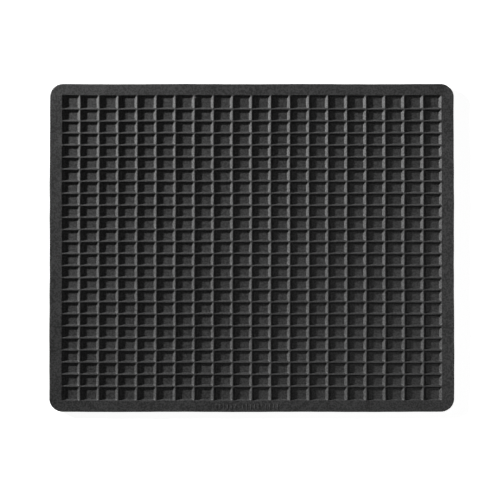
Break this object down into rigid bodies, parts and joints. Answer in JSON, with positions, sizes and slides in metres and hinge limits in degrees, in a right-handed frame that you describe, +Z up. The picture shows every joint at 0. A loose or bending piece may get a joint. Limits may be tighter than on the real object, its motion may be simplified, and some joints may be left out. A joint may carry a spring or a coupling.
{
  "type": "door mat",
  "caption": "Rectangular black rubber door mat: a flat border with rounded corners around a lattice of thin ribs and open pockets that catch dirt.",
  "frame": {"origin": "middle of the mat's footprint, on the surface that it lies on", "axes": "+X along the long side, to the right; +Y away from the side with the row of raised strokes; +Z up"},
  "size_m": [0.424, 0.344, 0.0058],
  "materials": {
    "black_rubber": "satin"
  },
  "bodies": {
    "root": {"base_sheet": "black_rubber", "border_frame": "black_rubber", "long_rib_01": "black_rubber", "long_rib_02": "black_rubber", "long_rib_03": "black_rubber", "long_rib_04": "black_rubber", "long_rib_05": "black_rubber", "long_rib_06": "black_rubber", "long_rib_07": "black_rubber", "long_rib_08": "black_rubber", "long_rib_09": "black_rubber", "long_rib_10": "black_rubber", "long_rib_11": "black_rubber", "long_rib_12": "black_rubber", "long_rib_13": "black_rubber", "long_rib_14": "black_rubber", "long_rib_15": "black_rubber", "long_rib_16": "black_rubber", "long_rib_17": "black_rubber", "long_rib_18": "black_rubber", "long_rib_19": "black_rubber", "long_rib_20": "black_rubber", "long_rib_21": "black_rubber", "long_rib_22": "black_rubber", "long_rib_23": "black_rubber", "long_rib_24": "black_rubber", "cross_rib_01": "black_rubber", "cross_rib_02": "black_rubber", "cross_rib_03": "black_rubber", "cross_rib_04": "black_rubber", "cross_rib_05": "black_rubber", "cross_rib_06": "black_rubber", "cross_rib_07": "black_rubber", "cross_rib_08": "black_rubber", "cross_rib_09": "black_rubber", "cross_rib_10": "black_rubber", "cross_rib_11": "black_rubber", "cross_rib_12": "black_rubber", "cross_rib_13": "black_rubber", "cross_rib_14": "black_rubber", "cross_rib_15": "black_rubber", "cross_rib_16": "black_rubber", "cross_rib_17": "black_rubber", "cross_rib_18": "black_rubber", "cross_rib_19": "black_rubber", "border_mark": "black_rubber"}
  },
  "joints": []
}
